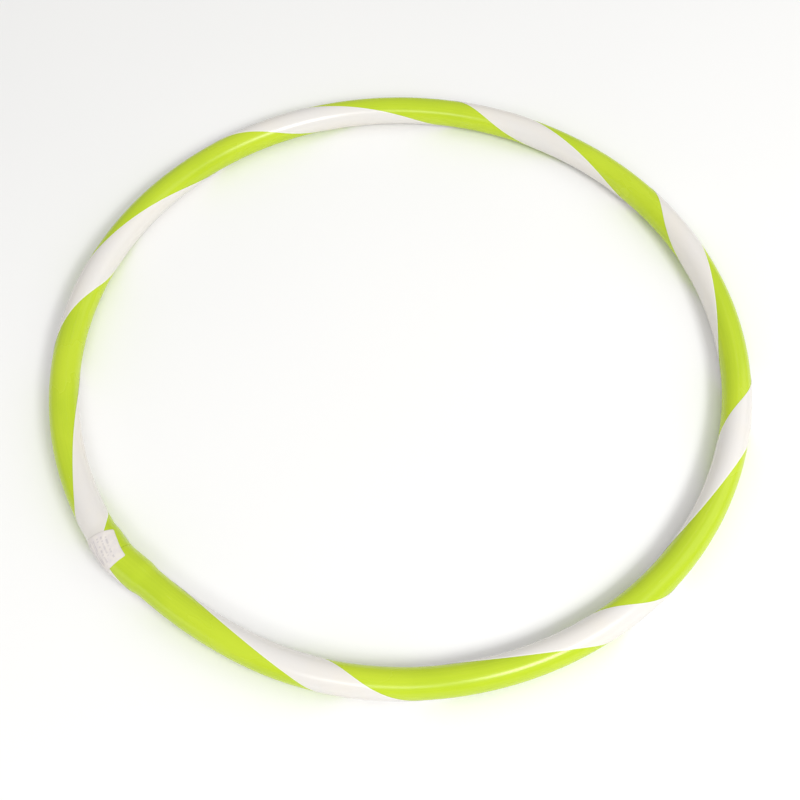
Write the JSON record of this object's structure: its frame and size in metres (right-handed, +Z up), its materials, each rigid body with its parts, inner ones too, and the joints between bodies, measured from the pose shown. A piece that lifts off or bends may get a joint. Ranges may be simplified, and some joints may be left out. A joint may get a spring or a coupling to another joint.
{
  "type": "rhythmic hoop",
  "caption": "Round hoop of glossy plastic tube with a spiral of adhesive tape in a second colour, ends joined on an inner plug under a small paper sticker.",
  "frame": {"origin": "centre of the ring, on the ground that the hoop lies on", "axes": "+Z up, along the ring's axis; +X and +Y lie in the ground, and the joint is at a bearing of 220.5 degrees from +X towards +Y, so the front quarter that holds it is towards -X and -Y"},
  "size_m": [0.601, 0.6003, 0.0282],
  "materials": {
    "tube_plastic": "glossy lime green extruded soft plastic",
    "tape_film": "glossy warm white adhesive film",
    "plug_plastic": "plain moulded natural plastic",
    "staple_steel": "bright galvanised flat wire",
    "label_paper": "matt coated paper sticker with plain grey marks"
  },
  "bodies": {
    "root": {"hoop_tube": "tube_plastic", "spiral_tape": "tape_film", "joint_plug": "plug_plastic", "joint_staples": "staple_steel", "joint_label": "label_paper"}
  },
  "joints": []
}
